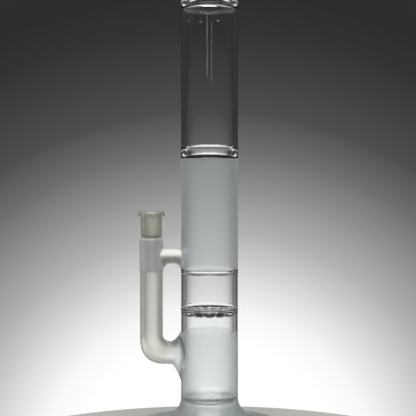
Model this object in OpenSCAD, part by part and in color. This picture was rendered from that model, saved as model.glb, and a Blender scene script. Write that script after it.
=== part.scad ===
// Straight glass water pipe: a column of sand-blasted and clear tubing on a flared foot,
// with a slotted diffuser disc inside, a bent side arm and a lift-out ground joint adapter.
// Millimetres. The column stands on the origin with its axis on +Z, and the side arm is on -X.

/* [Column] */
// Outer diameter of the column tubing
tube_d = 50; // [48:0.5:52]
// Wall thickness of the column tubing
tube_wall = 2.6; // [2:0.1:3]
// Height of the whole pipe, from the table to the lip
overall_h = 404; // [400:1:440]
// Height at which the sand-blasted chamber gives way to the clear window
window_z = 88; // [86:0.5:94]
// Height of the middle of the welded seam above the window
seam_z = 140; // [136:0.5:144]
// Height of the underside of the middle ring
middle_ring_z = 239; // [200:1:270]
// Height of the underside of the top ring
top_ring_z = 368; // [300:1:370]

/* [Rings and seam] */
// Height of each thick ring
ring_h = 11.4; // [9:0.2:12]
// How far a thick ring swells into the bore
ring_swell = 2.3; // [1.5:0.1:5]
// Height of the welded seam
seam_h = 4.6; // [3:0.2:5]
// How far the seam swells into the bore
seam_swell = 0.8; // [0.5:0.1:2.2]

/* [Mouthpiece] */
// Radius of the outward sweep under the lip
mouth_flare_r = 20; // [16:1:26]
// Angle through which the wall sweeps outward
mouth_flare_angle = 35; // [20:1:40]
// Radius of the rolled lip
lip_r = 2.3; // [2.2:0.1:2.8]

/* [Foot] */
// Diameter of the foot
foot_d = 136; // [134:1:150]
// Thickness of the foot at its rim
foot_edge = 5; // [4.5:0.1:6]
// Thickness of the foot's plate
foot_t = 3.4; // [2.8:0.1:4]
// Reach of the sweep from the column out into the foot
flare_w = 34; // [26:1:35]
// Height of that sweep
flare_rise = 23; // [18:0.5:26]
// Fall of the foot towards its rim, in degrees
foot_slope = 7; // [6:0.5:9]
// Width of the ring that touches the table
contact_w = 8; // [6:0.5:8]

/* [Chamber floor] */
// Height of the underside of the chamber floor
floor_z = 26; // [24:0.5:32]
// Thickness of the chamber floor
floor_t = 2.6; // [2:0.2:3.6]
// Radius of the dished corner between the floor and the wall
floor_corner_r = 3.5; // [3:0.5:8]

/* [Diffuser disc] */
// Height of the underside of the disc
disc_z = 102; // [99:0.5:112]
// Thickness of the disc
disc_t = 4.2; // [3:0.1:6]
// Number of slots cut into the edge of the disc
slot_count = 15; // [10:1:18]
// Width of each slot
slot_w = 2.6; // [1.6:0.1:3]
// Length of each slot, in from the edge
slot_l = 6; // [4:0.5:8]

/* [Side arm] */
// Distance from the column's axis to the side arm's axis
arm_x = 51; // [50:0.5:54]
// Outer diameter of the side arm
arm_d = 20; // [19:0.5:20.5]
// Wall thickness of the side arm
arm_wall = 2.8; // [2.4:0.1:3]
// Height of the port where the side arm enters the chamber
port_z = 68.5; // [66:0.5:70]
// Radius of the bend, on the arm's axis
bend_r = 16; // [13:0.5:16.5]
// How far the outside of the bend swells half-way round
bend_swell = 2.8; // [0:0.1:3]

/* [Port] */
// Clear length of the port between the side arm and the column
port_l = 8.8; // [8:0.2:9]
// Rise of the port's sweep above the side arm
port_rise = 9; // [6:0.2:9]
// Drop of the port's sweep below the side arm
port_drop = 15; // [12:0.5:21]
// Spread of the port's sweep to each side
port_spread = 5; // [3:0.5:6]
// Share of the sweep that the inside of the port follows
port_inner = 0.75; // [0.5:0.05:0.8]

/* [Ground joint] */
// Height at which the socket sits on the side arm
socket_z = 139.5; // [137:0.5:142]
// Length of the ground socket
socket_l = 29.4; // [28:0.2:32]
// Outer diameter of the ground socket
socket_d = 20.8; // [20:0.1:21.4]
// Large-end diameter of the ground taper
taper_d = 14.5; // [14:0.1:15]
// Fall of the ground taper's diameter over its length
taper = 0.1; // [0.08:0.01:0.1]
// Radial play in the ground joint
joint_play = 0.1; // [0.05:0.01:0.2]

/* [Bridge] */
// Height of the bridge's axis
bridge_z = 153.5; // [152.5:0.5:154.5]
// Diameter of the bridge
bridge_d = 14; // [11:0.2:14]
// Radius of the fillets above the bridge
fillet_up = 1.4; // [0.6:0.2:3]
// Radius of the fillets under the bridge
fillet_down = 6.2; // [2:0.2:6.6]

/* [Adapter] */
// Gap between the adapter's shoulder and the socket's lip
shoulder_gap = 0.7; // [0.5:0.1:2]
// Height of the adapter above its shoulder
adapter_h = 22.6; // [20:0.2:26]
// Outer diameter of the adapter just under its rim
adapter_d = 18.6; // [18:0.1:19.4]
// Outer diameter of the adapter's rim
adapter_rim_d = 23; // [22:0.1:24]
// Height of the adapter's rim
adapter_rim_h = 4.4; // [3.6:0.1:5]
// Diameter of the passage through the adapter
adapter_bore_d = 9; // [8:0.1:9]

/* [Hidden] */
$fn = 128;

frosted = [0.80, 0.84, 0.84, 0.85];
clear = [0.88, 0.93, 0.94, 0.35];
ground = [0.72, 0.73, 0.70, 0.75];

// Column
tube_r = tube_d / 2;
bore_r = tube_r - tube_wall;
past = 1;

// Foot: a rim, a gently sloping plate and a sweep that thins up into the column's wall
rim_r = foot_edge / 2;
rim_c = [foot_d / 2 - rim_r, rim_r];
rim_top = rim_c + rim_r * [sin(foot_slope), cos(foot_slope)];
flare = [flare_w, flare_rise];
flare_end = sweep_end(flare);
foot_h = rim_top.y + (rim_top.x - tube_r - flare_end.x) * tan(foot_slope) - flare_end.y;
under = flare + [tube_wall, foot_t];
under_end = sweep_end(under) + [bore_r, foot_h];
contact_r = rim_c.x - contact_w;
recess_step = 1.5;
recess_r = contact_r - recess_step;
recess_z = under_end.y - (recess_r - under_end.x) * tan(foot_slope);

// Mouthpiece: the lip sits at the end of the outward sweep, in the middle of the wall
lip_sweep = mouth_flare_r + tube_wall / 2;
mouth_flare_z = overall_h - lip_r - lip_sweep * sin(mouth_flare_angle);
mouth_c = [tube_r + mouth_flare_r, mouth_flare_z];
lip_c = mouth_c + lip_sweep * [-cos(mouth_flare_angle), sin(mouth_flare_angle)];

// Side arm
arm_r = arm_d / 2;
arm_bore_r = arm_r - arm_wall;
bend_c = [bend_r - arm_x, port_z + bend_r];
port_x = -tube_r - port_l;
port_sweep = 1.7;
loft_sides = 48;
bend_step = 6;
port_steps = 10;
port_weld_steps = 5;
weld_gap = 0.03;

// Ground joint: the socket's bore follows the taper, and the adapter's cone the same less the play
lip_z = socket_z + socket_l;
socket_r = socket_d / 2;
socket_step = 1.5;
socket_lip_r = (socket_r - taper_d / 2) / 2;
function taper_r(depth) = (taper_d - taper * depth) / 2;

// Bridge
bridge_r = bridge_d / 2;
bridge_steps = 16;
weld_rings = [0.02, 0.25, 0.5, 0.75];

// Adapter
shoulder_z = lip_z + shoulder_gap;
adapter_top_z = shoulder_z + adapter_h;
adapter_bore_r = adapter_bore_d / 2;
shoulder_r = adapter_d / 2 - 0.2;
shoulder_round = 1;
cone_end_z = socket_z + 1.2;
cone_tip = 0.6;
cup_depth = 20.5;
rim_round = 1.3;

// Shared shapes

// Points of an arc from one angle to another
function arc(centre, radius, from, to, steps) = [
  for (i = [0 : steps])
    let (a = from + (to - from) * i / steps)
      centre + radius * [cos(a), sin(a)]
];

// Point of an oval sweep that leaves the column's wall straight down and turns outward
function sweep_point(size, turn) = [size.x * (1 - cos(turn)), -size.y * sin(turn)];

// Turn at which such a sweep has levelled out to the slope of the foot
function sweep_turn(size) = atan(size.y / (size.x * tan(foot_slope)));

function sweep_end(size) = sweep_point(size, sweep_turn(size));

// Points of the sweep from a point on the wall
function sweep(start, size, steps) = [
  for (i = [0 : steps]) start + sweep_point(size, sweep_turn(size) * i / steps)
];

// Circle of loft_sides points square to X
function circle_x(x, z, radius) = [
  for (i = [0 : loft_sides - 1])
    let (a = 360 * i / loft_sides)
      [x, radius * cos(a), z + radius * sin(a)]
];

// Where the column's curved face stands at a distance from the middle plane
function on_column(y) = -sqrt(pow(tube_r + weld_gap, 2) - y * y);

// Solid skinned over rings of loft_sides points; a closed skin joins its last ring to its first
module skin(rings, closed = false) {
  n = loft_sides;
  count = len(rings);
  sides = [
    for (k = [0 : closed ? count - 1 : count - 2], i = [0 : n - 1])
      let (here = k * n, next = (k + 1) % count * n, j = (i + 1) % n)
        each [[here + i, next + j, here + j], [here + i, next + i, next + j]]
  ];
  first_cap = [for (i = [0 : n - 1]) i];
  last_cap = [for (i = [n - 1 : -1 : 0]) (count - 1) * n + i];
  caps = closed ? [] : [first_cap, last_cap];
  polyhedron(points = [for (ring = rings) each ring], faces = concat(caps, sides));
}

// Length of column tubing between two heights
module column_tube(from, to) {
  rotate_extrude()
    translate([bore_r, from])
      square([tube_wall, to - from]);
}

// Ring of column tubing whose inner face swells into the bore as part of a circle
module swollen_ring(from, height, swell) {
  round_r = (pow(height / 2, 2) + pow(swell, 2)) / (2 * swell);
  rotate_extrude()
    translate([0, from]) {
      translate([bore_r, 0])
        square([tube_wall, height]);
      intersection() {
        translate([bore_r - swell + round_r, height / 2])
          circle(round_r);
        translate([bore_r - swell, 0])
          square([swell + tube_wall / 2, height]);
      }
    }
}

// Foot and chamber

module foot() {
  inside = sweep([bore_r, foot_h], under, 20);
  color(frosted)
    rotate_extrude()
      polygon(concat(
        sweep([tube_r, foot_h], flare, 20),
        arc(rim_c, rim_r, 90 - foot_slope, -90, 12),
        [[contact_r, 0], [recess_r, recess_z]],
        [for (i = [len(inside) - 1 : -1 : 0]) inside[i]]
      ));
}

// Dish of even thickness, with its rim against the wall
module chamber_floor() {
  corner_c = [bore_r - floor_corner_r, floor_z + floor_t + floor_corner_r];
  under_corner_r = floor_corner_r + floor_t;
  color(frosted)
    rotate_extrude()
      polygon(concat(
        [[0, floor_z + floor_t], [0, floor_z]],
        arc(corner_c, under_corner_r, -90, -acos(floor_corner_r / under_corner_r), 16),
        arc(corner_c, floor_corner_r, 0, -90, 16)
      ));
}

module chamber_tube() {
  color(frosted)
    difference() {
      column_tube(foot_h, window_z);
      translate([-tube_r - past, 0, port_z])
        rotate([90, 0, 90])
          linear_extrude(tube_r + past)
            polygon(port_oval(arm_bore_r, port_inner));
    }
}

// Clear window with the diffuser disc

module window_tube() {
  color(clear)
    column_tube(window_z, seam_z - seam_h / 2);
}

module slot() {
  translate([bore_r - slot_l + slot_w / 2, 0]) {
    circle(slot_w / 2);
    translate([0, -slot_w / 2])
      square([slot_l, slot_w]);
  }
}

module diffuser_disc() {
  color(clear)
    translate([0, 0, disc_z])
      linear_extrude(disc_t)
        difference() {
          circle(bore_r);
          for (i = [0 : slot_count - 1])
            rotate(-90 + 360 * (i + 0.5) / slot_count)
              slot();
        }
}

module seam_ring() {
  color(clear)
    swollen_ring(seam_z - seam_h / 2, seam_h, seam_swell);
}

// Upper column

module middle_tube() {
  color(frosted)
    column_tube(seam_z + seam_h / 2, middle_ring_z);
}

module middle_ring() {
  color(clear)
    swollen_ring(middle_ring_z, ring_h, ring_swell);
}

module neck_tube() {
  color(clear)
    column_tube(middle_ring_z + ring_h, top_ring_z);
}

module top_ring() {
  color(clear)
    swollen_ring(top_ring_z, ring_h, ring_swell);
}

module mouthpiece() {
  straight_z = top_ring_z + ring_h;
  end_turn = 180 - mouth_flare_angle;
  color(clear)
    rotate_extrude() {
      polygon(concat(
        [[bore_r, straight_z], [tube_r, straight_z]],
        arc(mouth_c, mouth_flare_r, 180, end_turn, 10),
        arc(mouth_c, mouth_flare_r + tube_wall, end_turn, 180, 10)
      ));
      translate(lip_c)
        circle(lip_r);
    }
}

// Side arm

// Outline of the port: a circle spread sideways, up and down by a share of the sweep
function port_oval(base_r, share) = [
  for (i = [0 : loft_sides - 1])
    let (a = 360 * i / loft_sides, reach = sin(a) > 0 ? port_rise : port_drop)
      [(base_r + share * port_spread) * cos(a), (base_r + share * reach) * sin(a)]
];

// Ring of the port, which sweeps out on its way from the arm to the column's curved face
function port_ring(way, base_r, share) =
  let (
    here = port_oval(base_r, share * pow(way, port_sweep)),
    end = port_oval(base_r, share)
  ) [
    for (i = [0 : loft_sides - 1])
      [port_x + way * (on_column(end[i].x) - port_x), here[i].x, port_z + here[i].y]
  ];

// Ring on the column's face, part of the way in from the outer edge of the port to the inner
function port_weld(way) = [
  for (point = (1 - way) * port_oval(arm_r, 1) + way * port_oval(arm_bore_r, port_inner))
    [on_column(point.x), point.x, port_z + point.y]
];

module side_port() {
  color(frosted)
    skin(concat(
      [for (i = [0 : port_steps]) port_ring(i / port_steps, arm_r, 1)],
      [for (i = [1 : port_weld_steps]) port_weld(i / port_weld_steps)],
      [for (i = [port_steps - 1 : -1 : 0]) port_ring(i / port_steps, arm_bore_r, port_inner)]
    ), closed = true);
}

// Ring of the bend, turned about the bend's centre and swollen outward half-way round
function bend_ring(turn, base_r, swell) =
  let (
    way = [-cos(turn), 0, -sin(turn)],
    grow = swell / 2 * pow(sin(2 * turn), 2),
    middle = [bend_c.x, 0, bend_c.y] + (bend_r + grow) * way
  ) [
    for (i = [0 : loft_sides - 1])
      let (a = 360 * i / loft_sides)
        middle + (base_r + grow) * (cos(a) * [0, 1, 0] - sin(a) * way)
  ];

module arm_elbow() {
  color(frosted)
    skin(concat(
      [for (turn = [0 : bend_step : 90]) bend_ring(turn, arm_r, bend_swell)],
      [circle_x(port_x, port_z, arm_r), circle_x(port_x, port_z, arm_bore_r)],
      [for (turn = [90 : -bend_step : 0]) bend_ring(turn, arm_bore_r, bend_swell / 2)]
    ), closed = true);
}

module arm_tube() {
  color(frosted)
    translate([-arm_x, 0, bend_c.y])
      rotate_extrude()
        translate([arm_bore_r, 0])
          square([arm_wall, socket_z - bend_c.y]);
}

module joint_socket() {
  lip_base_z = lip_z - socket_lip_r;
  color(ground)
    translate([-arm_x, 0, 0])
      rotate_extrude() {
        polygon([
          [taper_r(socket_l), socket_z], [arm_r, socket_z], [socket_r, socket_z + socket_step],
          [socket_r, lip_base_z], [taper_r(socket_lip_r), lip_base_z]
        ]);
        translate([socket_r - socket_lip_r, lip_base_z])
          circle(socket_lip_r);
      }
}

// How much a fillet adds to the bridge's half height at a distance from the wall
function fillet_rise(fillet, gap) =
  let (lean = max(0, fillet - gap))
    fillet - sqrt(pow(fillet, 2) - pow(lean, 2));

// Ring of the bridge, part of the way from the socket's face to the column's, drawn in by a share
function bridge_ring(way, share) = [
  for (i = [0 : loft_sides - 1])
    let (
      a = 360 * i / loft_sides,
      y = share * bridge_r * cos(a),
      left = sqrt(pow(socket_r + weld_gap, 2) - y * y) - arm_x,
      right = on_column(y),
      gap = min(way, 1 - way) * (right - left),
      rise = fillet_rise(sin(a) > 0 ? fillet_up : fillet_down, gap)
    ) [left + way * (right - left), y, bridge_z + share * (bridge_r + rise) * sin(a)]
];

module bridge() {
  color(frosted)
    skin(concat(
      [for (share = weld_rings) bridge_ring(0, share)],
      [for (i = [0 : bridge_steps]) bridge_ring((1 - cos(180 * i / bridge_steps)) / 2, 1)],
      [for (i = [len(weld_rings) - 1 : -1 : 0]) bridge_ring(1, weld_rings[i])]
    ));
}

// Lift-out adapter

module adapter_cone() {
  cone_tip_r = taper_r(lip_z - cone_end_z) - joint_play;
  color(ground)
    translate([-arm_x, 0, 0])
      rotate_extrude()
        polygon([
          [adapter_bore_r, cone_end_z], [cone_tip_r - cone_tip, cone_end_z],
          [cone_tip_r, cone_end_z + cone_tip],
          [taper_r(-shoulder_gap) - joint_play, shoulder_z], [adapter_bore_r, shoulder_z]
        ]);
}

module adapter_socket() {
  cup_z = adapter_top_z - cup_depth;
  rim_z = adapter_top_z - adapter_rim_h;
  rim_in = adapter_rim_d / 2 - rim_round;
  color(ground)
    translate([-arm_x, 0, 0])
      rotate_extrude() {
        difference() {
          union() {
            polygon([
              [adapter_bore_r, shoulder_z], [shoulder_r - shoulder_round, shoulder_z],
              [shoulder_r - shoulder_round, shoulder_z + shoulder_round],
              [shoulder_r, shoulder_z + shoulder_round], [adapter_d / 2, rim_z],
              [rim_in, rim_z], [rim_in, adapter_top_z], [adapter_bore_r, adapter_top_z]
            ]);
            translate([shoulder_r - shoulder_round, shoulder_z + shoulder_round])
              circle(shoulder_round);
            translate([rim_in - rim_round, rim_z + rim_round])
              square([2 * rim_round, adapter_rim_h - 2 * rim_round]);
            for (z = [rim_z + rim_round, adapter_top_z - rim_round])
              translate([rim_in, z])
                circle(rim_round);
          }
          polygon([
            [0, cup_z], [taper_r(cup_depth), cup_z], [taper_r(-past), adapter_top_z + past],
            [0, adapter_top_z + past]
          ]);
        }
      }
}

foot();
chamber_floor();
chamber_tube();
window_tube();
diffuser_disc();
seam_ring();
middle_tube();
middle_ring();
neck_tube();
top_ring();
mouthpiece();
side_port();
arm_elbow();
arm_tube();
joint_socket();
bridge();
adapter_cone();
adapter_socket();
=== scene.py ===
import math
import bmesh
import bpy
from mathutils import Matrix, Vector


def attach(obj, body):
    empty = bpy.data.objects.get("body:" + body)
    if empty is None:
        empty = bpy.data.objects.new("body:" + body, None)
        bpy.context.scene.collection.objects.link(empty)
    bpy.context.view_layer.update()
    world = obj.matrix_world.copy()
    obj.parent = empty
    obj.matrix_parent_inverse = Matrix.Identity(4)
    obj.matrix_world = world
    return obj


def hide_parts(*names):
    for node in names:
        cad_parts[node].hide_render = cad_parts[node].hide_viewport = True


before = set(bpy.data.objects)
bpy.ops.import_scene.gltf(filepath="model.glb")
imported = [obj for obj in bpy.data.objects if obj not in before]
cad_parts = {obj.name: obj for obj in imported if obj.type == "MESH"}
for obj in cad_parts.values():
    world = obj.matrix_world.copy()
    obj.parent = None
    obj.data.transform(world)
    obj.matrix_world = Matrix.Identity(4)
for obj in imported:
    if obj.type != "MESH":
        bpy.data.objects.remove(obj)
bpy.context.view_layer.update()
scene = bpy.context.scene
scene.view_settings.view_transform = "Standard"
mm = 0.001
print("frame loaded:", len(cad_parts), "nodes")


# camera: in front and a little above the side arm, looking slightly down
cameraView = {"place": (-0.0013, -0.939, 0.2184), "tilt": 1.39, "lens": 92.7, "sensor": 36, "nearest": 0.01}
cameraData = bpy.data.cameras.new("camera")
cameraData.lens = cameraView["lens"]
cameraData.sensor_width = cameraView["sensor"]
cameraData.clip_start = cameraView["nearest"]
camera = bpy.data.objects.new("camera", cameraData)
camera.location = cameraView["place"]
camera.rotation_euler = (math.radians(90 - cameraView["tilt"]), 0, 0)
scene.collection.objects.link(camera)
scene.camera = camera


# nodes in one short call each
def addNode(tree, kind, x=0, y=0, **sockets):
    node = tree.nodes.new(kind)
    node.location = (x, y)
    for name, value in sockets.items():
        node.inputs[name.replace("_", " ")].default_value = value
    return node


def addMath(tree, operation, x, y, second=None):
    node = addNode(tree, "ShaderNodeMath", x, y)
    node.operation = operation
    if second is not None:
        node.inputs[1].default_value = second
    return node


def addMix(tree, x, y, blend="MIX"):
    node = addNode(tree, "ShaderNodeMix", x, y)
    node.data_type = "RGBA"
    node.blend_type = blend
    return node


def newMaterial(name):
    material = bpy.data.materials.new(name)
    material.use_nodes = True
    tree = material.node_tree
    tree.nodes.clear()
    out = addNode(tree, "ShaderNodeOutputMaterial", 600, 0)
    shader = addNode(tree, "ShaderNodeBsdfPrincipled", 300, 0)
    tree.links.new(shader.outputs["BSDF"], out.inputs["Surface"])
    return material, tree, shader


grainInputs = {"Grain Scale": 4200.0, "Cloud Scale": 90.0, "Rough": 0.5, "Rough Spread": 0.06}


# group: fine sand-blast grain, and a roughness that drifts in soft cloudy patches
def makeGrainGroup():
    group = bpy.data.node_groups.new("sandBlastGrain", "ShaderNodeTree")
    for name, value in grainInputs.items():
        socket = group.interface.new_socket(name, in_out="INPUT", socket_type="NodeSocketFloat")
        socket.default_value = value
    for name in ("Height", "Roughness"):
        group.interface.new_socket(name, in_out="OUTPUT", socket_type="NodeSocketFloat")
    link = group.links.new
    inside = addNode(group, "NodeGroupInput", -800, 0)
    outside = addNode(group, "NodeGroupOutput", 600, 0)
    place = addNode(group, "ShaderNodeTexCoord", -800, 300)
    grain = addNode(group, "ShaderNodeTexNoise", -400, 300, Detail=2.0)
    cloud = addNode(group, "ShaderNodeTexNoise", -400, 0, Detail=4.0, Roughness=0.6)
    centred = addMath(group, "SUBTRACT", -100, 0, 0.5)
    spread = addMath(group, "MULTIPLY_ADD", 150, 0)
    link(place.outputs["Object"], grain.inputs["Vector"])
    link(place.outputs["Object"], cloud.inputs["Vector"])
    link(inside.outputs["Grain Scale"], grain.inputs["Scale"])
    link(inside.outputs["Cloud Scale"], cloud.inputs["Scale"])
    link(cloud.outputs["Fac"], centred.inputs[0])
    link(centred.outputs[0], spread.inputs[0])
    link(inside.outputs["Rough Spread"], spread.inputs[1])
    link(inside.outputs["Rough"], spread.inputs[2])
    link(grain.outputs["Fac"], outside.inputs["Height"])
    link(spread.outputs[0], outside.inputs["Roughness"])
    return group


grainGroup = makeGrainGroup()

glassIor = 1.47
grainDepth = 0.0001

# sand-blasted, lightly blasted and ground glass: they differ in tint, grain, haze
# and in the powdery sheen of their edges
frostedLook = {"name": "frostedGlass", "tint": (0.955, 0.978, 0.99, 1), "rough": 0.32,
               "bump": 0.08, "grain": 4200, "clear": 0.94, "sheen": 0.25}
footLook = {"name": "footGlass", "tint": (0.92, 0.975, 1.0, 1), "rough": 0.32,
            "bump": 0.06, "grain": 4200, "clear": 0.86, "sheen": 0.1}
armLook = {"name": "armGlass", "tint": (0.955, 0.945, 0.87, 1), "rough": 0.34,
           "bump": 0.10, "grain": 4200, "clear": 0.88, "sheen": 0.0}
socketLook = {"name": "socketGlass", "tint": (0.95, 0.94, 0.92, 1), "rough": 0.34,
              "bump": 0.05, "grain": 4800, "clear": 0.88, "sheen": 0.0}
# the satin glass's darker tint is the adapter's own; given to the foot's rim it is painted shade, a dark
# line round the rim
satinAndRimShadeLook = {"name": "satinAndRimShadeGlass", "tint": (0.67, 0.66, 0.56, 1), "rough": 0.24,
             "bump": 0.05, "grain": 4800, "clear": 0.88, "sheen": 0.0}
groundLook = {"name": "groundTaper", "tint": (0.97, 0.97, 0.96, 1), "rough": 0.28,
              "bump": 0.08, "grain": 6000, "clear": 0.95, "sheen": 0.0}


def makeRough(look):
    material, tree, shader = newMaterial(look["name"])
    link = tree.links.new
    grain = addNode(tree, "ShaderNodeGroup", -500, 0)
    grain.node_tree = grainGroup
    grain.inputs["Grain Scale"].default_value = look["grain"]
    grain.inputs["Rough"].default_value = look["rough"]
    bump = addNode(tree, "ShaderNodeBump", 0, -250, Strength=look["bump"], Distance=grainDepth)
    link(grain.outputs["Height"], bump.inputs["Height"])
    link(bump.outputs["Normal"], shader.inputs["Normal"])
    link(grain.outputs["Roughness"], shader.inputs["Roughness"])
    shader.inputs["Base Color"].default_value = look["tint"]
    shader.inputs["Transmission Weight"].default_value = look["clear"]
    shader.inputs["Sheen Weight"].default_value = look["sheen"]
    shader.inputs["IOR"].default_value = glassIor
    return material


# drawn tubing ripples along its length
clearLook = {"tint": (0.975, 0.99, 0.985, 1), "rough": 0.0, "wave": 0.05, "waveDepth": 0.001,
             "waveScale": (60, 60, 12)}


def makeClear():
    material, tree, shader = newMaterial("clearGlass")
    link = tree.links.new
    place = addNode(tree, "ShaderNodeTexCoord", -700, 0)
    stretch = addNode(tree, "ShaderNodeMapping", -500, 0, Scale=clearLook["waveScale"])
    ripple = addNode(tree, "ShaderNodeTexNoise", -250, 0, Scale=1.0, Detail=1.0)
    wave, depth = clearLook["wave"], clearLook["waveDepth"]
    bump = addNode(tree, "ShaderNodeBump", 0, -250, Strength=wave, Distance=depth)
    link(place.outputs["Object"], stretch.inputs["Vector"])
    link(stretch.outputs["Vector"], ripple.inputs["Vector"])
    link(ripple.outputs["Fac"], bump.inputs["Height"])
    link(bump.outputs["Normal"], shader.inputs["Normal"])
    shader.inputs["Base Color"].default_value = clearLook["tint"]
    shader.inputs["Roughness"].default_value = clearLook["rough"]
    shader.inputs["Transmission Weight"].default_value = 1.0
    shader.inputs["IOR"].default_value = glassIor
    return material


# where two pieces are welded there is no surface left in the glass, so the face is not seen
def makeWeld():
    material, _, shader = newMaterial("weldedFace")
    shader.inputs["Base Color"].default_value = (1, 1, 1, 1)
    shader.inputs["Alpha"].default_value = 0.0
    return material


roughLooks = (frostedLook, footLook, armLook, socketLook, satinAndRimShadeLook, groundLook)
materials = [makeClear(), makeWeld()] + [makeRough(look) for look in roughLooks]
faceKinds = range(len(materials))
clearFace, weldFace, frostedFace, footFace, armFace, socketFace, satinAndRimShadeFace, groundFace = faceKinds
print("materials made:", len(materials))

columnSegments = 192
jointSegments = 128
poleR = 1e-6  # a point of a turned loop nearer to the axis is a pole
creaseAngle = 0.5  # radians; a sharper edge shades as a crease
roundFace = 0.99  # a face this square to the axis belongs to a round wall


def arcPoints(cr, cz, radius, start, end, steps, face):
    angles = [math.radians(start + (end - start) * i / steps) for i in range(steps + 1)]
    return [(cr + radius * math.cos(a), cz + radius * math.sin(a), face) for a in angles]


def markCreases(bm):
    for edge in bm.edges:
        edge.smooth = edge.calc_face_angle(0) < creaseAngle


def finishMesh(bm, name):
    bmesh.ops.recalc_face_normals(bm, faces=bm.faces)
    markCreases(bm)
    for face in bm.faces:
        face.smooth = True
    mesh = bpy.data.meshes.new(name)
    bm.to_mesh(mesh)
    bm.free()
    for material in materials:
        mesh.materials.append(material)
    piece = bpy.data.objects.new(name, mesh)
    scene.collection.objects.link(piece)
    return piece


# closed ring turned from a loop of (radius, height, face kind) in millimetres;
# the kind covers the step to the next point, and may be a function of the segment
def turnPiece(name, loop, axisX=0.0, segments=columnSegments):
    bm = bmesh.new()
    rows = []
    for r, z, _ in loop:
        if r < poleR:
            rows.append([bm.verts.new((axisX * mm, 0, z * mm))])
        else:
            rows.append([
                bm.verts.new(((axisX + r * math.cos(2 * math.pi * i / segments)) * mm,
                              r * math.sin(2 * math.pi * i / segments) * mm, z * mm))
                for i in range(segments)
            ])
    for k, (_, _, kind) in enumerate(loop):
        low, high = rows[k], rows[(k + 1) % len(rows)]
        if len(low) == 1 and len(high) == 1:
            continue
        for i in range(segments):
            j = (i + 1) % segments
            corners = [low[i % len(low)], low[j % len(low)], high[j % len(high)], high[i % len(high)]]
            face = bm.faces.new(list(dict.fromkeys(corners)))  # a pole counts once
            face.material_index = kind(i) if callable(kind) else kind
    return finishMesh(bm, name)


# closed skin over rings of equal length, with one kind for each step between them;
# where the rings don't close on themselves there are two caps, whose kinds come last
def skinPiece(name, rings, kinds, closed=True):
    bm = bmesh.new()
    rows = [[bm.verts.new(Vector(p) * mm) for p in ring] for ring in rings]
    n = len(rows[0])
    steps = len(rows) if closed else len(rows) - 1
    for k in range(steps):
        low, high = rows[k], rows[(k + 1) % len(rows)]
        for i in range(n):
            j = (i + 1) % n
            face = bm.faces.new([low[i], low[j], high[j], high[i]])
            face.material_index = kinds[k]
    if not closed:
        for row, kind in ((rows[0], kinds[-2]), (rows[-1], kinds[-1])):
            middle = bm.verts.new(sum((v.co for v in row), Vector()) / n)
            for i in range(n):
                face = bm.faces.new([row[i], row[(i + 1) % n], middle])
                face.material_index = kind
    return finishMesh(bm, name)


# cuts a turned piece with another; the cut faces keep the cutter's kind,
# and faces round the axis keep their true normals
def cutPiece(piece, cutter, axisX=0.0):
    cut = piece.modifiers.new("cut", "BOOLEAN")
    cut.object = cutter
    cut.solver = "EXACT"
    cut.operation = "DIFFERENCE"
    bpy.context.view_layer.update()
    graph = bpy.context.evaluated_depsgraph_get()
    mesh = bpy.data.meshes.new_from_object(piece.evaluated_get(graph))
    piece.modifiers.clear()
    bpy.data.objects.remove(cutter)
    bm = bmesh.new()
    bm.from_mesh(mesh)
    markCreases(bm)
    bm.to_mesh(mesh)
    bm.free()
    axis = Vector((axisX * mm, 0, 0))
    normals = [Vector(corner.vector) for corner in mesh.corner_normals]
    for face in mesh.polygons:
        outward = face.center - axis
        outward.z = 0
        side = face.normal.dot(outward.normalized())
        if abs(side) > roundFace:
            for corner in face.loop_indices:
                away = mesh.vertices[mesh.loops[corner].vertex_index].co - axis
                away.z = 0
                normals[corner] = away.normalized() * (1 if side > 0 else -1)
    mesh.normals_split_custom_set(normals)
    piece.data = mesh


def keepPiece(piece, node, body="column"):
    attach(piece, body)
    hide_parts(node)


# column tubing, all of one bore
column = {"r": 25.0, "bore": 22.4, "window": 88.0, "seam": 140.0, "middleRing": 239.0, "topRing": 368.0,
          "top": 404.0}
sideArm = {"x": 51.0, "r": 10.0, "bore": 7.2, "portZ": 68.5, "bend": 16.0, "bendSteps": 30, "swell": 2.8,
           "top": 139.5}
weldDepth = 0.03  # a welded patch is let this far into the face it covers
patchLift = 1.0  # and its cutter reaches this far out of that face
bulgeSteps = 24
sides = 96
turns = [2 * math.pi * i / sides for i in range(sides)]


def tubeLoop(low, high, outside):
    return [
        (column["bore"], low, weldFace), (column["r"], low, outside),
        (column["r"], high, weldFace), (column["bore"], high, clearFace),
    ]


# bulge of the bore's wall, from its top down
def bulgePoints(low, height, swell):
    radius = (height * height / 4 + swell * swell) / (2 * swell)
    half = math.degrees(math.asin(height / 2 / radius))
    centreR = column["bore"] - swell + radius
    return arcPoints(centreR, low + height / 2, radius, 180 - half, 180 + half, bulgeSteps, clearFace)


def ringLoop(low, height, swell):
    bulge = bulgePoints(low, height, swell)
    bulge[-1] = bulge[-1][:2] + (weldFace,)
    return bulge + [(column["r"], low, clearFace), (column["r"], low + height, weldFace)]


def onColumn(y, radius):
    return -math.sqrt(radius * radius - y * y)


foot = {"d": 136.0, "edge": 5.0, "plate": 3.4, "sweep": (34.0, 23.0), "slope": 7.0, "contact": 8.0,
        "recess": 1.5, "sweepSteps": 40, "edgeSteps": 24, "underSteps": 60, "weldMargin": 0.3}
chamberFloor = {"z": 26.0, "thick": 2.6, "corner": 3.5, "clearance": 0.02, "rimAngle": 4, "steps": 20}
floorRim = chamberFloor["z"] + chamberFloor["thick"] + chamberFloor["corner"]
floorOuter = chamberFloor["corner"] + chamberFloor["thick"]
floorWeld = floorRim - math.sqrt(floorOuter ** 2 - chamberFloor["corner"] ** 2)


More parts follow.
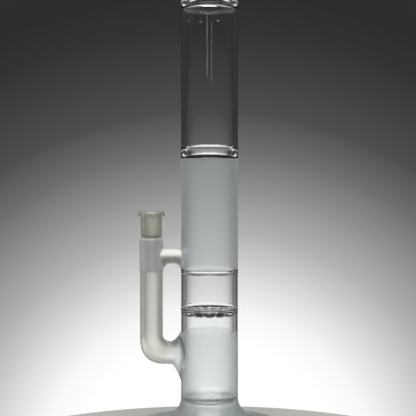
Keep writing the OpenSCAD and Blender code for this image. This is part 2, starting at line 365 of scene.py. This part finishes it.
# oval sweep that leaves the column's wall straight down and levels out to the foot's slope
def sweepPoints(startR, startZ, size, steps):
    last = math.atan(size[1] / (size[0] * math.tan(math.radians(foot["slope"]))))
    angles = [last * i / steps for i in range(steps + 1)]
    return [(startR + size[0] * (1 - math.cos(a)), startZ - size[1] * math.sin(a)) for a in angles]


def makeFoot():
    slope = math.radians(foot["slope"])
    rim = foot["edge"] / 2
    rimR = foot["d"] / 2 - rim
    endR, endZ = sweepPoints(column["r"], 0, foot["sweep"], 1)[-1]
    height = rim + rim * math.cos(slope) + (rimR + rim * math.sin(slope) - endR) * math.tan(slope) - endZ
    contactR = rimR - foot["contact"]
    recessR = contactR - foot["recess"]
    flare = sweepPoints(column["r"], height, foot["sweep"], foot["sweepSteps"])
    outer = [(r, z, footFace) for r, z in flare]
    # the rim takes the satin glass's darker tint as painted shade: a dark line round the foot's rim
    edge = arcPoints(rimR, rim, rim, 90 - foot["slope"], -90, foot["edgeSteps"], satinAndRimShadeFace)
    underSize = (foot["sweep"][0] + column["r"] - column["bore"], foot["sweep"][1] + foot["plate"])
    inner = sweepPoints(column["bore"], height, underSize, foot["underSteps"])
    recessZ = inner[-1][1] - (recessR - inner[-1][0]) * math.tan(slope)
    under = [(contactR, 0, frostedFace), (recessR, recessZ, clearFace)]
    # the topmost steps are welded to the chamber floor's rim, and the last one to the chamber
    weldLow = floorWeld - foot["weldMargin"]
    under += [(r, z, weldFace if z > weldLow else clearFace) for r, z in reversed(inner)]
    keepPiece(turnPiece("footGlass", outer + edge + under), "foot")
    return height


footHeight = makeFoot()


def makeFloor():
    low, corner, steps = chamberFloor["z"], chamberFloor["corner"], chamberFloor["steps"]
    centreR = column["bore"] - chamberFloor["clearance"] - corner
    wallAngle = -math.degrees(math.acos(corner / floorOuter))
    loop = [(0, low, clearFace)]
    loop += arcPoints(centreR, floorRim, floorOuter, -90, wallAngle, steps, clearFace)
    loop[-1] = loop[-1][:2] + (weldFace,)
    loop += arcPoints(centreR, floorRim, corner, -chamberFloor["rimAngle"], -90, steps, clearFace)
    loop += [(0, low + chamberFloor["thick"], clearFace)]
    keepPiece(turnPiece("chamberFloor", loop), "chamber_floor")


makeFloor()

port = {"length": 8.8, "rise": 9.0, "drop": 15.0, "spread": 5.0, "inner": 0.75, "sweep": 1.7, "steps": 14,
        "weldSteps": 6, "weldReach": 1.2, "holeFrom": -60}
portX = -column["r"] - port["length"]


# outline of the port: a circle spread sideways, up and down by a share of the sweep
def portOval(base, share):
    oval = []
    for a in turns:
        tall = port["rise"] if math.sin(a) > 0 else port["drop"]
        oval.append(((base + share * port["spread"]) * math.cos(a), (base + share * tall) * math.sin(a)))
    return oval


# ring of the port's sweep from the arm to the column's curved face
def portRing(way, base, share):
    ends = portOval(base, share)
    return [
        (portX + way * (onColumn(end[0], column["r"]) - portX), y, sideArm["portZ"] + z)
        for (y, z), end in zip(portOval(base, share * way ** port["sweep"]), ends)
    ]


# ring on a face about the column, part of the way in from the outer edge of the port to the inner
def portWeld(way, radius):
    ring = []
    for (y0, z0), (y1, z1) in zip(portOval(sideArm["r"], 1), portOval(sideArm["bore"], port["inner"])):
        y = y0 + way * (y1 - y0)
        ring.append((onColumn(y, radius), y, sideArm["portZ"] + z0 + way * (z1 - z0)))
    return ring


def circleX(x, radius):
    return [(x, radius * math.cos(a), sideArm["portZ"] + radius * math.sin(a)) for a in turns]


def makeChamber():
    loop = tubeLoop(footHeight, column["window"], frostedFace) + [(column["bore"], floorRim, weldFace)]
    piece = turnPiece("chamberTube", loop)
    steps, reach = port["weldSteps"], port["weldReach"]
    patch = [portWeld(reach * k / steps, column["r"] - weldDepth) for k in range(steps + 1)]
    patch += [portWeld(reach, column["r"] + patchLift), portWeld(0, column["r"] + patchLift)]
    cutPiece(piece, skinPiece("portPatch", patch, [weldFace] * len(patch)))
    oval = portOval(sideArm["bore"], port["inner"])
    hole = [[(x, y, sideArm["portZ"] + z) for y, z in oval] for x in (port["holeFrom"], 0)]
    cutPiece(piece, skinPiece("portHole", hole, [clearFace] * 3, False))
    keepPiece(piece, "chamber_tube")


makeChamber()


def makePort():
    steps, weldSteps = port["steps"], port["weldSteps"]
    rings = [portRing(k / steps, sideArm["r"], 1) for k in range(steps + 1)]
    rings += [portWeld(k / weldSteps, column["r"]) for k in range(1, weldSteps + 1)]
    rings += [portRing(k / steps, sideArm["bore"], port["inner"]) for k in range(steps - 1, -1, -1)]
    kinds = [frostedFace] * steps + [weldFace] * weldSteps + [clearFace] * steps + [weldFace]
    piece = skinPiece("sidePort", rings, kinds)
    mesh = piece.data
    normals = [Vector(corner.vector) for corner in mesh.corner_normals]
    for face in mesh.polygons:
        if face.material_index == frostedFace:
            for corner in face.loop_indices:
                # over the second half of the sweep the normals turn smoothly to the column's own
                at = mesh.loops[corner].vertex_index
                way = max(0.0, (at // sides) / steps * 2 - 1)
                share = way * way * (3 - 2 * way)
                radial = mesh.vertices[at].co * Vector((1, 1, 0))
                normals[corner] = normals[corner].lerp(radial.normalized(), share).normalized()
    mesh.normals_split_custom_set(normals)
    keepPiece(piece, "side_port")


makePort()

bridge = {"z": 153.5, "d": 14.0, "up": 1.4, "down": 6.2, "steps": 28, "shares": (0.02, 0.25, 0.5, 0.75)}
socketR = 10.4  # outside of the ground socket, which the bridge meets


# ring of the bridge, part of the way from the socket's face to the column's, drawn in by a share
def bridgeRing(way, share, inSocket=0.0, inColumn=0.0):
    ring = []
    for a in turns:
        y = share * bridge["d"] / 2 * math.cos(a)
        left = math.sqrt((socketR - inSocket) ** 2 - y * y) - sideArm["x"]
        right = onColumn(y, column["r"] - inColumn)
        fillet = bridge["up"] if math.sin(a) > 0 else bridge["down"]
        lean = max(0.0, fillet - min(way, 1 - way) * (right - left))
        tall = bridge["d"] / 2 + fillet - math.sqrt(fillet * fillet - lean * lean)
        ring.append((left + way * (right - left), y, bridge["z"] + share * tall * math.sin(a)))
    return ring


# cutter that lets the bridge's welded end into the face it meets
def bridgePatch(way):
    deep = [bridgeRing(way, share, weldDepth, weldDepth) for share in bridge["shares"] + (1,)]
    clear = [bridgeRing(way, share, -patchLift, -patchLift) for share in (1, bridge["shares"][0])]
    patch = deep + clear
    return skinPiece("bridgePatch", patch, [weldFace] * (len(patch) + 1), False)


def makeBridge():
    shares, steps = bridge["shares"], bridge["steps"]
    rings = [bridgeRing(0, share) for share in shares]
    rings += [bridgeRing((1 - math.cos(math.pi * k / steps)) / 2, 1) for k in range(steps + 1)]
    rings += [bridgeRing(1, share) for share in reversed(shares)]
    kinds = [weldFace] * len(shares) + [armFace] * steps + [weldFace] * (len(shares) + 2)
    keepPiece(skinPiece("bridgeRod", rings, kinds, False), "bridge")


makeBridge()

seam = {"height": 4.6, "swell": 1.5}
thickRing = {"height": 11.4, "swell": 2.3}
seamLow = column["seam"] - seam["height"] / 2
seamHigh = column["seam"] + seam["height"] / 2
ringTop = column["middleRing"] + thickRing["height"]


def makeRing(name, node, low, ring):
    piece = turnPiece(name, ringLoop(low, ring["height"], ring["swell"]))
    keepPiece(piece, node)


def makeMiddle():
    piece = turnPiece("middleTube", tubeLoop(seamHigh, column["middleRing"], frostedFace))
    cutPiece(piece, bridgePatch(1))
    keepPiece(piece, "middle_tube")


def makeNeck():
    piece = turnPiece("neckTube", tubeLoop(ringTop, column["topRing"], clearFace))
    keepPiece(piece, "neck_tube")


makeRing("seamRing", "seam_ring", seamLow, seam)
makeMiddle()
makeRing("middleRing", "middle_ring", column["middleRing"], thickRing)
makeNeck()
makeRing("topRing", "top_ring", column["topRing"], thickRing)

# the flare stops wallGap degrees short of the lip's middle, and the lip starts lipGap degrees past the wall
mouth = {"sweep": 20.0, "angle": 35.0, "lip": 2.3, "wallGap": 2, "lipGap": 15,
         "sweepSteps": 20, "lipSteps": 40}


def makeMouth():
    wall = column["r"] - column["bore"]
    low = column["topRing"] + thickRing["height"]
    along = mouth["sweep"] + wall / 2
    angle = math.radians(mouth["angle"])
    bend = column["top"] - mouth["lip"] - along * math.sin(angle)
    centre = (column["r"] + mouth["sweep"], bend)
    rollR = centre[0] - along * math.cos(angle)
    rollZ = bend + along * math.sin(angle)
    pinch = math.degrees(math.acos(wall / 2 / mouth["lip"]))
    end = 180 - mouth["angle"]
    wallEnd, steps = end + mouth["wallGap"], mouth["sweepSteps"]
    outer = [(column["r"], low, clearFace)]
    outer += arcPoints(*centre, mouth["sweep"], 180, wallEnd, steps, clearFace)
    # the rolled lip runs round from the outer face to the inner one
    lipStart = -mouth["angle"] - pinch + mouth["lipGap"]
    lipEnd = end + pinch - mouth["lipGap"]
    lip = arcPoints(rollR, rollZ, mouth["lip"], lipStart, lipEnd, mouth["lipSteps"], clearFace)
    inner = arcPoints(*centre, mouth["sweep"] + wall, wallEnd, 180, steps, clearFace)
    inner += [(column["bore"], low, weldFace)]
    keepPiece(turnPiece("mouthpieceGlass", outer + lip + inner), "mouthpiece")


makeMouth()
print("column turned")

diffuser = {"z": 102.0, "thick": 4.2, "slots": 15, "slotWidth": 2.6, "slotLength": 6.0, "firstTurn": -90,
            "round": 0.8, "roundSteps": 5, "endSteps": 10, "rimSteps": 6, "perTooth": 16, "join": 0.002,
            "sideInset": 0.3, "rimInset": 0.05, "beadHeight": 4.2, "beadSwell": 1.5}
discTop = diffuser["z"] + diffuser["thick"]
uprightFace = 0.1  # a normal with less rise than this is a side's
levelFace = 0.9  # and one with more rise is an upper or lower face's


# tree: one tooth of the disc, repeated round the column's axis and joined
def makeToothTree():
    tree = bpy.data.node_groups.new("discTeeth", "GeometryNodeTree")
    newSocket = tree.interface.new_socket
    newSocket("Geometry", in_out="INPUT", socket_type="NodeSocketGeometry")
    newSocket("Teeth", in_out="INPUT", socket_type="NodeSocketInt").default_value = diffuser["slots"]
    newSocket("First Turn", in_out="INPUT", socket_type="NodeSocketFloat")
    newSocket("Glass", in_out="INPUT", socket_type="NodeSocketMaterial")
    newSocket("Geometry", in_out="OUTPUT", socket_type="NodeSocketGeometry")
    link = tree.links.new
    inside = addNode(tree, "NodeGroupInput", -900, 0)
    outside = addNode(tree, "NodeGroupOutput", 900, 0)
    points = addNode(tree, "GeometryNodePoints", -500, 200)
    index = addNode(tree, "GeometryNodeInputIndex", -900, -200)
    share = addMath(tree, "DIVIDE", -700, -200)
    turn = addMath(tree, "MULTIPLY_ADD", -500, -200, 2 * math.pi)
    axis = addNode(tree, "ShaderNodeCombineXYZ", -300, -200)
    spread = addNode(tree, "GeometryNodeInstanceOnPoints", -100, 100)
    real = addNode(tree, "GeometryNodeRealizeInstances", 150, 100)
    joined = addNode(tree, "GeometryNodeMergeByDistance", 350, 100, Distance=diffuser["join"] * mm)
    glass = addNode(tree, "GeometryNodeSetMaterial", 600, 100)
    link(inside.outputs["Teeth"], points.inputs["Count"])
    link(index.outputs[0], share.inputs[0])
    link(inside.outputs["Teeth"], share.inputs[1])
    link(share.outputs[0], turn.inputs[0])
    link(inside.outputs["First Turn"], turn.inputs[2])
    link(turn.outputs[0], axis.inputs["Z"])
    link(points.outputs[0], spread.inputs["Points"])
    link(inside.outputs["Geometry"], spread.inputs["Instance"])
    link(axis.outputs[0], spread.inputs["Rotation"])
    link(spread.outputs[0], real.inputs[0])
    link(real.outputs[0], joined.inputs["Geometry"])
    link(joined.outputs[0], glass.inputs["Geometry"])
    link(inside.outputs["Glass"], glass.inputs["Material"])
    link(glass.outputs[0], outside.inputs["Geometry"])
    return tree


def runTree(piece, tree, values):
    modifier = piece.modifiers.new(tree.name, "NODES")
    modifier.node_group = tree
    for item in tree.interface.items_tree:
        if item.in_out == "INPUT" and item.name in values:
            modifier[item.identifier] = values[item.name]
    bpy.context.view_layer.update()
    graph = bpy.context.evaluated_depsgraph_get()
    mesh = bpy.data.meshes.new_from_object(piece.evaluated_get(graph))
    piece.modifiers.clear()
    piece.data = mesh


# outline of one tooth, from the middle of a slot to the middle of the next
def toothOutline(radius):
    half = diffuser["slotWidth"] / 2
    endR = column["bore"] - diffuser["slotLength"] + half
    step = math.pi / diffuser["slots"]
    endSteps, rimSteps = diffuser["endSteps"], diffuser["rimSteps"]

    def besideSlot(along, across):  # along and across the slot on the tooth's left
        return (along * math.cos(step) + across * math.sin(step),
                along * math.sin(step) - across * math.cos(step))

    slotEnd = [math.radians(90 * i / endSteps) for i in range(endSteps + 1)]
    left = [besideSlot(endR - half * math.cos(a), half * math.sin(a)) for a in slotEnd]
    left.append(besideSlot(math.sqrt(radius * radius - half * half), half))
    edge = math.atan2(left[-1][1], left[-1][0])
    rimAngles = [edge * (1 - k / rimSteps) for k in range(1, 2 * rimSteps)]
    rim = [(radius * math.cos(a), radius * math.sin(a)) for a in rimAngles]
    return [(0.0, 0.0)] + left + rim + [(x, -y) for x, y in reversed(left)]


# one tooth, repeated to a disc
def makeDisc(name, radius):
    outline = toothOutline(radius)
    bm = bmesh.new()
    rows = [[bm.verts.new((x * mm, y * mm, z * mm)) for x, y in outline] for z in (diffuser["z"], discTop)]
    bm.faces.new(rows[0])
    bm.faces.new(list(reversed(rows[1])))
    for i in range(1, len(outline) - 1):
        bm.faces.new([rows[0][i + 1], rows[0][i], rows[1][i], rows[1][i + 1]])
    mesh = bpy.data.meshes.new(name)
    bm.to_mesh(mesh)
    bm.free()
    tooth = bpy.data.objects.new(name, mesh)
    scene.collection.objects.link(tooth)
    firstTurn = math.radians(diffuser["firstTurn"])
    values = {"Teeth": diffuser["slots"], "First Turn": firstTurn, "Glass": materials[clearFace]}
    runTree(tooth, toothTree, values)
    bm = bmesh.new()
    bm.from_mesh(tooth.data)
    bpy.data.objects.remove(tooth)

    def awayFromAxis(face):
        return face.calc_center_median().xy.length

    def meetsLevel(edge):
        return any(abs(face.normal.z) > levelFace for face in edge.link_faces)

    # fire-polished: the edges along the slots are rounded
    upright = [f for f in bm.faces if abs(f.normal.z) < uprightFace]
    slotSides = [f for f in upright if awayFromAxis(f) < (radius - diffuser["sideInset"]) * mm]
    edges = {e for f in slotSides for e in f.edges if meetsLevel(e)}
    bmesh.ops.bevel(bm, geom=list(edges), offset=diffuser["round"] * mm, segments=diffuser["roundSteps"],
                    profile=0.5, affect="EDGES", clamp_overlap=True)
    rimReach = (radius - diffuser["rimInset"]) * mm
    for face in bm.faces:
        onRim = awayFromAxis(face) > rimReach and abs(face.normal.z) < uprightFace
        face.material_index = weldFace if onRim else clearFace
    return finishMesh(bm, name)


# the window's inner wall is open to the glass of each tooth,
# and a bead of the weld runs round above the disc
def makeWindow():
    perTooth = diffuser["perTooth"]
    slotHalf = math.degrees(math.asin(diffuser["slotWidth"] / 2 / column["bore"]))
    pitch = 360 / diffuser["slots"]

    def atTooth(i):
        turn = ((i + 0.5) * pitch / perTooth - diffuser["firstTurn"]) % pitch
        return weldFace if slotHalf < (turn - pitch / 2) % pitch < pitch - slotHalf else clearFace

    bead = bulgePoints(discTop, diffuser["beadHeight"], diffuser["beadSwell"])
    bead[-1] = (column["bore"], discTop, atTooth)
    loop = tubeLoop(column["window"], seamLow, clearFace) + bead
    loop += [(column["bore"], diffuser["z"], clearFace)]
    keepPiece(turnPiece("windowTube", loop, 0, perTooth * diffuser["slots"]), "window_tube")


makeWindow()
toothTree = makeToothTree()
keepPiece(makeDisc("diffuserDisc", column["bore"]), "diffuser_disc")
print("diffuser repeated")


def makeArm():
    cx, cz = sideArm["bend"] - sideArm["x"], sideArm["portZ"] + sideArm["bend"]
    steps = sideArm["bendSteps"]

    def bendRing(turn, base, swell):
        wayX, wayZ = -math.cos(turn), -math.sin(turn)
        grow = swell / 2 * math.sin(2 * turn) ** 2
        mx, mz = cx + (sideArm["bend"] + grow) * wayX, cz + (sideArm["bend"] + grow) * wayZ
        r = base + grow
        return [(mx - r * math.sin(a) * wayX, r * math.cos(a), mz - r * math.sin(a) * wayZ) for a in turns]

    angles = [math.radians(90 * i / steps) for i in range(steps + 1)]
    outer = [bendRing(t, sideArm["r"], sideArm["swell"]) for t in angles] + [circleX(portX, sideArm["r"])]
    inner = [circleX(portX, sideArm["bore"])]
    inner += [bendRing(t, sideArm["bore"], sideArm["swell"] / 2) for t in reversed(angles)]
    kinds = [armFace] * len(angles) + [weldFace] + [clearFace] * len(angles) + [weldFace]
    keepPiece(skinPiece("armElbow", outer + inner, kinds), "arm_elbow")
    loop = [
        (sideArm["bore"], cz, weldFace), (sideArm["r"], cz, armFace),
        (sideArm["r"], sideArm["top"], weldFace), (sideArm["bore"], sideArm["top"], clearFace),
    ]
    keepPiece(turnPiece("armTube", loop, -sideArm["x"], sides), "arm_tube")


makeArm()

joint = {"length": 29.4, "taperD": 14.5, "taper": 0.1, "play": 0.1, "step": 1.5, "lipSteps": 20}
lipZ = sideArm["top"] + joint["length"]


def taperR(depth):
    return (joint["taperD"] - joint["taper"] * depth) / 2


def makeSocket():
    lip = (socketR - joint["taperD"] / 2) / 2
    low = sideArm["top"]
    loop = [
        (taperR(joint["length"]), low, weldFace), (sideArm["r"], low, socketFace),
        (socketR, low + joint["step"], socketFace),
    ]
    loop += arcPoints(socketR - lip, lipZ - lip, lip, 0, 180, joint["lipSteps"], socketFace)
    loop[-1] = loop[-1][:2] + (groundFace,)
    piece = turnPiece("jointSocket", loop, -sideArm["x"], jointSegments)
    cutPiece(piece, bridgePatch(0), -sideArm["x"])
    keepPiece(piece, "joint_socket")


makeSocket()

adapter = {"gap": 0.7, "height": 22.6, "d": 18.6, "bore": 4.5, "cup": 20.5, "tipGap": 1.2, "tipEdge": 0.6,
           "shoulderD": 18.2, "shoulderRound": 1, "shoulderFrom": -80, "shoulderSteps": 10,
           "rimD": 23.0, "rimHeight": 4.4, "rimRound": 1.3, "rimSteps": 8}
shoulderZ = lipZ + adapter["gap"]
coneTopR = taperR(-adapter["gap"]) - joint["play"]


def makeCone():
    tip, edge = sideArm["top"] + adapter["tipGap"], adapter["tipEdge"]
    tipR = taperR(lipZ - tip) - joint["play"]
    loop = [
        (adapter["bore"], tip, groundFace), (tipR - edge, tip, groundFace), (tipR, tip + edge, groundFace),
        (coneTopR, shoulderZ, weldFace), (adapter["bore"], shoulderZ, clearFace),
    ]
    piece = turnPiece("adapterCone", loop, -sideArm["x"], jointSegments)
    keepPiece(piece, "adapter_cone", "adapter")


def makeCup():
    top = shoulderZ + adapter["height"]
    rim, cupZ = top - adapter["rimHeight"], top - adapter["cup"]
    bend, bendFrom = adapter["shoulderRound"], adapter["shoulderFrom"]
    bendR = adapter["shoulderD"] / 2 - bend
    edge = adapter["rimRound"]
    edgeR = adapter["rimD"] / 2 - edge
    loop = [(adapter["bore"], shoulderZ, weldFace), (coneTopR, shoulderZ, satinAndRimShadeFace)]
    loop += arcPoints(bendR, shoulderZ + bend, bend, bendFrom, 0, adapter["shoulderSteps"], satinAndRimShadeFace)
    loop += [(adapter["d"] / 2, rim, satinAndRimShadeFace)]
    loop += arcPoints(edgeR, rim + edge, edge, -90, 0, adapter["rimSteps"], satinAndRimShadeFace)
    loop += arcPoints(edgeR, top - edge, edge, 0, 90, adapter["rimSteps"], satinAndRimShadeFace)
    loop += [
        (taperR(0), top, groundFace), (taperR(adapter["cup"]), cupZ, groundFace),
        (adapter["bore"], cupZ, clearFace),
    ]
    piece = turnPiece("adapterSocket", loop, -sideArm["x"], jointSegments)
    keepPiece(piece, "adapter_socket", "adapter")


makeCone()
makeCup()
print("side arm and adapter made")


# floor: the far edge of a pale round board shows behind the foot
floorLook = {"r": 0.219, "y": -0.1175, "thick": 0.006, "gap": 0.0001, "segments": 160,
             "colour": (0.5, 0.49, 0.445, 1), "fleck": 600.0, "rough": (0.42, 0.55)}


def makeBoard():
    material, tree, shader = newMaterial("paleBoard")
    link = tree.links.new
    place = addNode(tree, "ShaderNodeTexCoord", -700, 0)
    fleck = addNode(tree, "ShaderNodeTexNoise", -450, 0, Scale=floorLook["fleck"], Detail=3.0)
    smooth, rough = floorLook["rough"]
    shade = addNode(tree, "ShaderNodeMapRange", -200, 0, To_Min=smooth, To_Max=rough)
    link(place.outputs["Object"], fleck.inputs["Vector"])
    link(fleck.outputs["Fac"], shade.inputs["Value"])
    link(shade.outputs["Result"], shader.inputs["Roughness"])
    shader.inputs["Base Color"].default_value = floorLook["colour"]
    bm = bmesh.new()
    r, thick, segments = floorLook["r"], floorLook["thick"], floorLook["segments"]
    bmesh.ops.create_cone(bm, cap_ends=True, segments=segments, radius1=r, radius2=r, depth=thick)
    for vert in bm.verts:
        vert.co.y += floorLook["y"]
        vert.co.z -= thick / 2 + floorLook["gap"]
    mesh = bpy.data.meshes.new("board")
    bm.to_mesh(mesh)
    bm.free()
    mesh.materials.append(material)
    board = bpy.data.objects.new("board", mesh)
    scene.collection.objects.link(board)


makeBoard()

# world: soft even fill, and a background that glows low behind the column;
# to the sides it is white low down, dark above the horizon and white again overhead
glow = {"elevation": -16.0, "blend": (30.0, 50.0), "span": (0, 40)}
glowLevels = (
    (7.5, 1.0), (9, 0.94), (10.5, 0.77), (12, 0.59), (13.4, 0.44), (15.7, 0.275),
    (17.8, 0.153), (19.9, 0.075), (22, 0.053), (24, 0.034), (26, 0.027), (30, 0.03),
)  # by degrees from the glow's middle
sideSpan = (-1, 1)
sideLevels = (
    (-0.3, 1.0), (-0.2, 0.85), (-0.1, 0.3), (-0.03, 0.12),
    (0.05, 0.04), (0.55, 0.03), (0.75, 0.4), (0.9, 1.0),
)  # by the rise of the direction
frontSpan = (90, 180)
frontLevels = ((95, 1.0), (115, 0.45), (135, 0.2), (180, 0.15))  # the glass sees a dimmer room in front
lowWhite = (-0.26, -0.45)  # further down it turns white all round
fill = {"colour": (0.93, 0.97, 1.0, 1), "strength": 0.8}


def makeWorld():
    world = bpy.data.worlds.new("studio")
    scene.world = world
    world.use_nodes = True
    tree = world.node_tree
    tree.nodes.clear()
    link = tree.links.new

    def levelRamp(value, span, levels, y):
        low, high = span
        reach = addNode(tree, "ShaderNodeMapRange", -400, y, From_Min=low, From_Max=high)
        ramp = addNode(tree, "ShaderNodeValToRGB", -200, y)
        stops = ramp.color_ramp.elements
        while len(stops) < len(levels):
            stops.new(0.5)
        for stop, (at, level) in zip(stops, levels):
            stop.position = (at - low) / (high - low)
            stop.color = (level, level, level, 1)
        link(value, reach.inputs["Value"])
        link(reach.outputs["Result"], ramp.inputs["Fac"])
        return ramp.outputs["Color"]

    # degrees from the glow's middle; below it the level stays the same
    rise = math.radians(glow["elevation"])
    place = addNode(tree, "ShaderNodeTexCoord", -1000, 0)
    split = addNode(tree, "ShaderNodeSeparateXYZ", -1000, -200)
    lifted = addMath(tree, "MAXIMUM", -900, -200, math.sin(rise))
    joined = addNode(tree, "ShaderNodeCombineXYZ", -850, -100)
    even = addNode(tree, "ShaderNodeVectorMath", -820, 0)
    even.operation = "NORMALIZE"
    facing = addNode(tree, "ShaderNodeVectorMath", -800, 0)
    facing.operation = "DOT_PRODUCT"
    facing.inputs[1].default_value = (0, math.cos(rise), math.sin(rise))
    angle = addMath(tree, "ARCCOSINE", -600, 0)
    degrees = addMath(tree, "DEGREES", -500, 200)
    link(place.outputs["Generated"], split.inputs[0])
    link(split.outputs["Z"], lifted.inputs[0])
    link(split.outputs["X"], joined.inputs["X"])
    link(split.outputs["Y"], joined.inputs["Y"])
    link(lifted.outputs[0], joined.inputs["Z"])
    link(joined.outputs[0], even.inputs[0])
    link(even.outputs[0], facing.inputs[0])
    link(facing.outputs["Value"], angle.inputs[0])
    link(angle.outputs[0], degrees.inputs[0])

    # background: the glow, then the sides and front, then white below
    path = addNode(tree, "ShaderNodeLightPath", -200, 800)
    near = levelRamp(degrees.outputs[0], glow["span"], glowLevels, 400)
    beside = levelRamp(split.outputs["Z"], sideSpan, sideLevels, -200)
    front = levelRamp(degrees.outputs[0], frontSpan, frontLevels, 100)
    dim = addMath(tree, "MAXIMUM", 100, 100)
    far = addMix(tree, 300, 0, "MULTIPLY")
    far.inputs["Factor"].default_value = 1.0
    blendFrom, blendTo = glow["blend"]
    share = addNode(tree, "ShaderNodeMapRange", 100, 400, From_Min=blendFrom, From_Max=blendTo)
    share.interpolation_type = "SMOOTHSTEP"
    seen = addMix(tree, 500, 200)
    below = addNode(tree, "ShaderNodeMapRange", 300, -250, From_Min=lowWhite[0], From_Max=lowWhite[1])
    ground = addMix(tree, 650, 250)
    ground.inputs["B"].default_value = (1, 1, 1, 1)
    plain = addNode(tree, "ShaderNodeBackground", 800, 100, Strength=1.0)
    link(front, dim.inputs[0])
    link(path.outputs["Is Camera Ray"], dim.inputs[1])
    link(beside, far.inputs["A"])
    link(dim.outputs[0], far.inputs["B"])
    link(degrees.outputs[0], share.inputs["Value"])
    link(share.outputs["Result"], seen.inputs["Factor"])
    link(near, seen.inputs["A"])
    link(far.outputs["Result"], seen.inputs["B"])
    link(split.outputs["Z"], below.inputs["Value"])
    link(below.outputs["Result"], ground.inputs["Factor"])
    link(seen.outputs["Result"], ground.inputs["A"])
    link(ground.outputs["Result"], plain.inputs["Color"])

    # camera, gloss and glass see the background; all other light,
    # and what reaches the board through the glass, is the soft fill
    soft = addNode(tree, "ShaderNodeBackground", 650, -100, Color=fill["colour"], Strength=fill["strength"])
    direct = addMath(tree, "MAXIMUM", 100, 700)
    shown = addMath(tree, "MAXIMUM", 300, 700)
    unspread = addMath(tree, "LESS_THAN", 300, 850, 0.5)
    behind = addMath(tree, "MULTIPLY", 500, 700)
    whole = addNode(tree, "ShaderNodeMixShader", 850, 0)
    out = addNode(tree, "ShaderNodeOutputWorld", 1000, 0)
    link(path.outputs["Is Camera Ray"], direct.inputs[0])
    link(path.outputs["Is Glossy Ray"], direct.inputs[1])
    link(direct.outputs[0], shown.inputs[0])
    link(path.outputs["Is Transmission Ray"], shown.inputs[1])
    link(path.outputs["Diffuse Depth"], unspread.inputs[0])
    link(shown.outputs[0], behind.inputs[0])
    link(unspread.outputs[0], behind.inputs[1])
    link(behind.outputs[0], whole.inputs["Fac"])
    link(soft.outputs[0], whole.inputs[1])
    link(plain.outputs[0], whole.inputs[2])
    link(whole.outputs[0], out.inputs["Surface"])


makeWorld()

# each lamp aims at a height on the column's axis;
# the card stands low behind the foot and is seen only through the glass
lamps = (
    {"name": "overhead", "place": (-0.15, -0.15, 1.2), "aim": 0.2, "size": (0.6, 0.6), "watts": 1.5},
    {"name": "key", "place": (0, -0.75, 1.1), "aim": 0.25, "size": (1.6, 0.4), "watts": 8.0},
    {"name": "strip", "place": (-0.16, -0.93, 0.455), "aim": 0.3, "size": (0.03, 0.11), "watts": 0.03},
    {"name": "card", "place": (0, 0.085, 0.008), "aim": 0.008, "size": (0.03, 0.012), "watts": 0.0022},
)
for lamp in lamps:
    data = bpy.data.lights.new(lamp["name"], "AREA")
    data.shape = "RECTANGLE"
    data.size, data.size_y = lamp["size"]
    data.energy = lamp["watts"]
    light = bpy.data.objects.new(lamp["name"], data)
    light.location = lamp["place"]
    toward = Vector((0, 0, lamp["aim"])) - Vector(lamp["place"])
    light.rotation_euler = toward.to_track_quat("-Z", "Y").to_euler()
    light.visible_camera = False
    light.visible_diffuse = lamp["name"] != "card"
    light.visible_glossy = lamp["name"] != "card"
    scene.collection.objects.link(light)
print("stage and lamps set")
